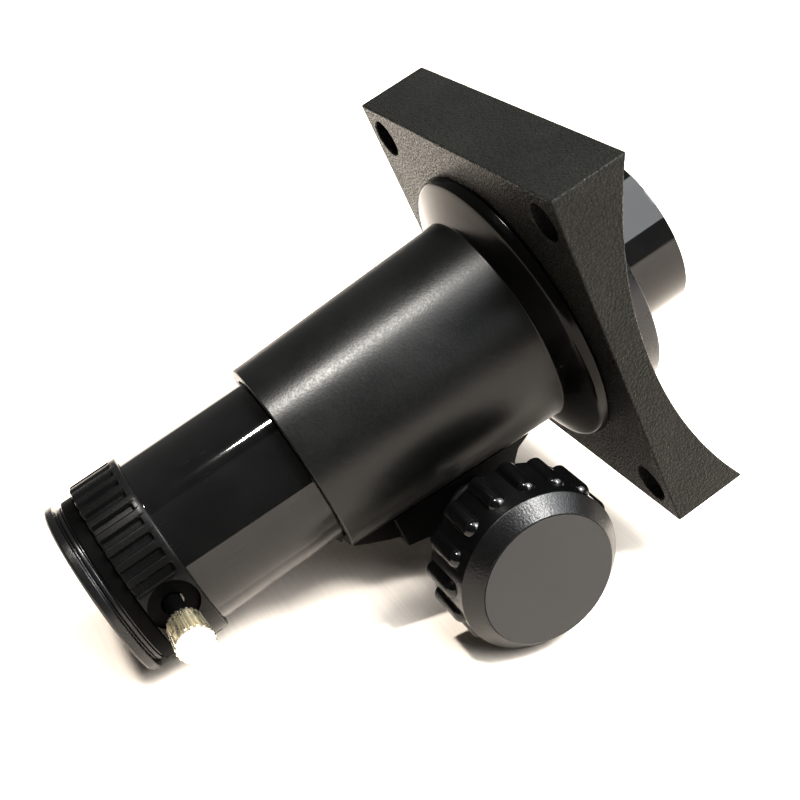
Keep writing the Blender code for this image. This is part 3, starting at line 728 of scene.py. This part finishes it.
def makeThumbScrew():
    crestAndGroove = ((0.0, 0.0), (0.40, 0.0), (0.58, 1.0), (0.82, 1.0))    # share of a ridge, depth

    def section(x, radius, depth):
        points = []
        for ridge in range(thumb["ridges"]):
            for share, fall in crestAndGroove:
                a = 2 * math.pi * (ridge + share) / thumb["ridges"]
                r = radius - depth * fall
                points.append((x, r * math.cos(a), r * math.sin(a)))
        return points

    low, high, base, end, deep = (thumb["from"], thumb["to"], thumb["baseRadius"],
                                  thumb["endRadius"], thumb["depth"])
    sections = [section(low, base - 0.8, 0), section(low + 0.25, base - 0.5, 0),
                section(low + 0.8, base, deep), section(high - 0.45, end, deep),
                section(high - 0.2, end - 0.1, deep * 0.6), section(high - 0.06, end - 0.28, 0),
                section(high, end - 0.42, 0)]
    tip, thick = thumb["tip"], thumb["shank"]
    shank = lathe("X", [(tip, 0), (tip, thick - 0.5), (tip + 0.45, thick), (low + 1, thick),
                        (low + 1, 0)], 48, 0.05)
    bm = carve(skin(sections), shank, how="UNION")
    # painted shade: the shank, behind the knurled head, takes the near-black colour
    for f in bm.faces:
        if f.calc_center_median().x < low - 0.01:
            f.material_index = 1
    addPiece("thumbScrew", bm, [nickelPlate, paintedShadeBlack], "thumb", ["thumb_screw"],
             thumbFrame, 22.0)


makeThumbScrew()
print("thumb screw done")


# focus knobs: lobed grip, grained chamfer, flat cap, and the shaft between them

knob = {
    "faceX": 45.84, "backX": 29.6, "radius": 17.3, "faceRadius": 14.25, "chamferX": 42.4,
    "lobes": 16, "lobeCentre": 16.4, "lobeRadius": 2.2, "lobeTipX": 40.1, "capRadius": 14.08,
    "capRise": 0.19, "capSeatX": 44.3, "capBackX": 44.55,
}
shaft = {"halfLength": 41.0, "radius": 2.5, "tapRadius": 1.55, "tapDepth": 9.0, "bore": 2.62}


def makeLobes(sx):
    tip, r = knob["lobeTipX"], knob["lobeRadius"]
    profile = [(knob["backX"] + 0.25, 0), (knob["backX"] + 0.25, r - 0.3), (knob["backX"] + 0.55, r)]
    roundSteps = 8
    for k in range(roundSteps + 1):
        a = math.pi / 2 * k / roundSteps
        profile.append((tip - r + r * math.sin(a), r * math.cos(a) if k < roundSteps else 0.0))
    lobes = bmesh.new()
    for k in range(knob["lobes"]):
        turn = 2 * math.pi * k / knob["lobes"] - leanAngle - math.pi / 2
        one = lathe("X", [(sx * a, radius) for a, radius in profile], 28, 0)
        bmesh.ops.translate(one, vec=(0, knob["lobeCentre"], 0), verts=one.verts)
        bmesh.ops.rotate(one, matrix=Matrix.Rotation(turn, 3, "X"), verts=one.verts)
        keep = bpy.data.meshes.new("lobe")
        one.to_mesh(keep)
        one.free()
        lobes.from_mesh(keep)
        bpy.data.meshes.remove(keep)
    return lobes


def makeKnob(sx, side):
    face, back, radius = knob["faceX"] - knob["capRise"], knob["backX"], knob["radius"]
    inner, seat, bore = knob["faceRadius"], knob["capSeatX"], shaft["bore"]
    loop = [    # skirt, chamfer, seat for the cap, screw hole, shaft hole and hub
        (back, 13.9), (back, radius), (knob["chamferX"], radius), (face, inner),
        (face, inner - 0.15), (seat, inner - 0.15), (seat, 3.3), (42.6, 3.3), (42.6, 1.6),
        (41.3, 1.6), (41.3, bore), (27.6, bore), (27.6, 5.4), (40.6, 6.2), (40.6, 13.9),
    ]
    bm = lathe("X", [(sx * a, r) for a, r in loop], fineSteps, 0.22)
    bm = carve(bm, makeLobes(sx), how="UNION")
    for f in bm.faces:
        at = f.calc_center_median()
        reach = math.hypot(at.y, at.z)
        if abs(at.x) > knob["chamferX"] - 0.06 and reach > inner - 0.1:
            f.material_index = 1
    addPiece("focusKnob_" + side, bm, [knobBlack, grainedChamfer], "focus",
             ["focus_knob_" + side], shaftFrame, 42.0)
    low, high, wide = knob["capBackX"], knob["faceX"], knob["capRadius"]
    cap = [(low, 0), (low, wide), (high, wide), (high, 0)]
    addPiece("knobCap_" + side, lathe("X", [(sx * a, r) for a, r in cap], fineSteps, 0.06), [satinGrey],
             "focus", ["knob_cap_" + side], shaftFrame)


def makeShaft():
    end, radius = shaft["halfLength"], shaft["radius"]
    tapEnd = end - shaft["tapDepth"]
    rod = lathe("X", [(-end, 0), (-end, radius), (end, radius), (end, 0)], 64, 0.3)
    taps = [pin("X", low, high, shaft["tapRadius"], holeSteps)
            for low, high in ((-50, -tapEnd), (tapEnd, 50))]
    bm = carve(rod, *taps)
    addPiece("focusShaft", bm, [brightSteel], "focus", ["focus_shaft"], shaftFrame)


for sx, side in ((-1, "left"), (1, "right")):
    makeKnob(sx, side)
makeShaft()
print("knobs and shaft done")


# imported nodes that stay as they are, with a finish and softened edges

kept = {    # finish, and the width of the softened edge
    "focus_rack": (knobBlack, 0.07), "pinion_gear": (cutBrass, 0.07),
    "rack_screw_front": (brightSteel, 0.05), "rack_screw_rear": (brightSteel, 0.05),
    "knob_screw_left": (brightSteel, 0.08), "knob_screw_right": (brightSteel, 0.08),
    "tension_pad": (whiteNylon, 0.05), "front_guide_liner": (matteLiner, 0.05),
    "rear_guide_liner": (matteLiner, 0.05),
}
for name, (finish, width) in kept.items():
    node = frame["nodes"][name]
    for slotAt in node.material_slots:
        slotAt.material = finish
    edge = node.modifiers.new("softEdge", "BEVEL")
    edge.width = width * mm
    edge.segments = 2
    edge.limit_method = "ANGLE"
    edge.angle_limit = math.radians(35)
print("kept nodes finished")


# pale cloth-covered table

table = {
    "size": 3.0, "colour": (0.84, 0.765, 0.69), "rough": 0.85, "specular": 0.2,
    "rib": 0.9, "ribLength": 40.0, "ribDepth": 0.05, "patch": 60.0,
}


def makeTable():
    bm = bmesh.new()
    bmesh.ops.create_grid(bm, x_segments=8, y_segments=8, size=table["size"])
    mesh = bpy.data.meshes.new("tableTop")
    bm.to_mesh(mesh)
    bm.free()
    top = bpy.data.objects.new("tableTop", mesh)
    bpy.context.collection.objects.link(top)
    cloth = bpy.data.materials.new("paleCloth")
    cloth.use_nodes = True
    tree = cloth.node_tree
    shader = tree.nodes["Principled BSDF"]
    stretch = (1.0 / table["ribLength"], 1.0 / table["rib"], 1.0)
    ribs = cloud(tree, inMillimetres(tree, stretch), 1.0, 3.0)
    patches = cloud(tree, inMillimetres(tree), table["patch"], 2.0)
    tone = blendColour(tree, spread(tree, patches, 0.35, 0.65, 0.0, 1.0), table["colour"],
                       tuple(0.97 * c for c in table["colour"]))
    tone = blendColour(tree, spread(tree, ribs, 0.35, 0.65, 0.0, 0.5), tone,
                       tuple(0.90 * c for c in table["colour"]))
    tree.links.new(tone, shader.inputs["Base Color"])
    feeds = {"Strength": 0.5, "Distance": table["ribDepth"] * mm, "Height": ribs}
    tree.links.new(addNode(tree, "Bump", None, feeds).outputs[0], shader.inputs["Normal"])
    shader.inputs["Roughness"].default_value = table["rough"]
    shader.inputs["Specular IOR Level"].default_value = table["specular"]
    mesh.materials.append(cloth)


makeTable()


# light: a broad window, a small ceiling lamp, a pale room and the dark side it is seen from

lights = {
    "window": {"azimuth": 38.0, "height": 56.0, "away": 1.3, "shape": "RECTANGLE",
               "size": (1.7, 1.5), "power": 50.0, "colour": (0.95, 0.98, 1.0)},
    "brightPane": {"azimuth": 34.0, "height": 52.0, "away": 1.28, "shape": "RECTANGLE",
                   "size": (0.3, 0.4), "power": 21.0, "colour": (1.0, 0.98, 0.95)},
    "lamp": {"azimuth": -84.0, "height": 73.3, "away": 1.6, "shape": "ELLIPSE",
             "size": (0.06, 0.14), "power": 20.0, "colour": (1.0, 0.97, 0.92)},
    "room": (0.30, 0.295, 0.285), "roomDark": (0.09, 0.09, 0.09),
    "shade": {"azimuth": -50.0, "height": 30.0, "from": 0.25, "to": 0.9},
    "darkSide": {"azimuth": -24.0, "away": 0.62, "width": 0.75, "tall": 3.2,
                 "colour": (0.05, 0.05, 0.05)},
}


def toward(azimuth, height):
    a, e = math.radians(azimuth), math.radians(height)
    return Vector((math.cos(a) * math.cos(e), math.sin(a) * math.cos(e), math.sin(e)))


def makeLamps():
    target = (cadBox[0] + cadBox[1]) / 2
    for name in ("window", "brightPane", "lamp"):
        spec = lights[name]
        lamp = bpy.data.lights.new(name, "AREA")
        lamp.shape = spec["shape"]
        lamp.size, lamp.size_y = spec["size"]
        lamp.energy = spec["power"]
        lamp.color = spec["colour"]
        made = bpy.data.objects.new(name, lamp)
        bpy.context.collection.objects.link(made)
        away = toward(spec["azimuth"], spec["height"])
        made.location = target + away * spec["away"]
        made.rotation_euler = away.to_track_quat("Z", "Y").to_euler()


def makeRoom():
    # pale all round, darker toward one side
    world = bpy.data.worlds.new("room")
    bpy.context.scene.world = world
    world.use_nodes = True
    tree = world.node_tree
    spec = lights["shade"]
    facing = addNode(tree, "VectorMath", {"operation": "DOT_PRODUCT"}, {
        0: addNode(tree, "TexCoord").outputs["Generated"],
        1: tuple(toward(spec["azimuth"], spec["height"]))}).outputs["Value"]
    shaded = spread(tree, facing, spec["from"], spec["to"], 0.0, 1.0)
    tree.links.new(blendColour(tree, shaded, lights["room"], lights["roomDark"]),
                   tree.nodes["Background"].inputs["Color"])


def makeDarkSide():
    # a dark screen that only the gloss sees
    spec = lights["darkSide"]
    across = toward(spec["azimuth"] + 90.0, 0.0) * spec["width"] / 2
    foot = toward(spec["azimuth"], 0.0) * spec["away"]
    rise = Vector((0, 0, spec["tall"]))
    bm = bmesh.new()
    bm.faces.new([bm.verts.new(p) for p in (foot - across, foot + across,
                                            foot + across + rise, foot - across + rise)])
    mesh = bpy.data.meshes.new("darkScreen")
    bm.to_mesh(mesh)
    bm.free()
    dark = bpy.data.materials.new("darkScreen")
    dark.use_nodes = True
    shader = dark.node_tree.nodes["Principled BSDF"]
    shader.inputs["Base Color"].default_value = (*spec["colour"], 1.0)
    shader.inputs["Roughness"].default_value = 1.0
    mesh.materials.append(dark)
    screen = bpy.data.objects.new("darkScreen", mesh)
    bpy.context.collection.objects.link(screen)
    screen.visible_camera = screen.visible_shadow = screen.visible_diffuse = False


makeLamps()
makeRoom()
makeDarkSide()


# camera, from the focuser's own frame

cameraSpec = {
    "at": (226.8, -76.4, 151.7),
    "right": (0.42988, 0.89852, -0.08867), "up": (-0.38894, 0.27291, 0.87991),
    "lens": 59.69, "sensor": 36.0,
}


def makeCamera():
    data = bpy.data.cameras.new("camera")
    data.lens, data.sensor_width = cameraSpec["lens"], cameraSpec["sensor"]
    data.clip_start, data.clip_end = 0.01, 20.0
    made = bpy.data.objects.new("camera", data)
    bpy.context.collection.objects.link(made)
    right, up = Vector(cameraSpec["right"]), Vector(cameraSpec["up"])
    turn = Matrix((right, up, right.cross(up))).transposed().to_4x4()
    place = focuserFrame @ Vector([v * mm for v in cameraSpec["at"]])
    made.matrix_world = Matrix.Translation(place) @ turn
    bpy.context.scene.camera = made
    bpy.context.scene.view_settings.view_transform = "Standard"
    bpy.context.scene.view_settings.look = "High Contrast"


makeCamera()
print("light and camera set")
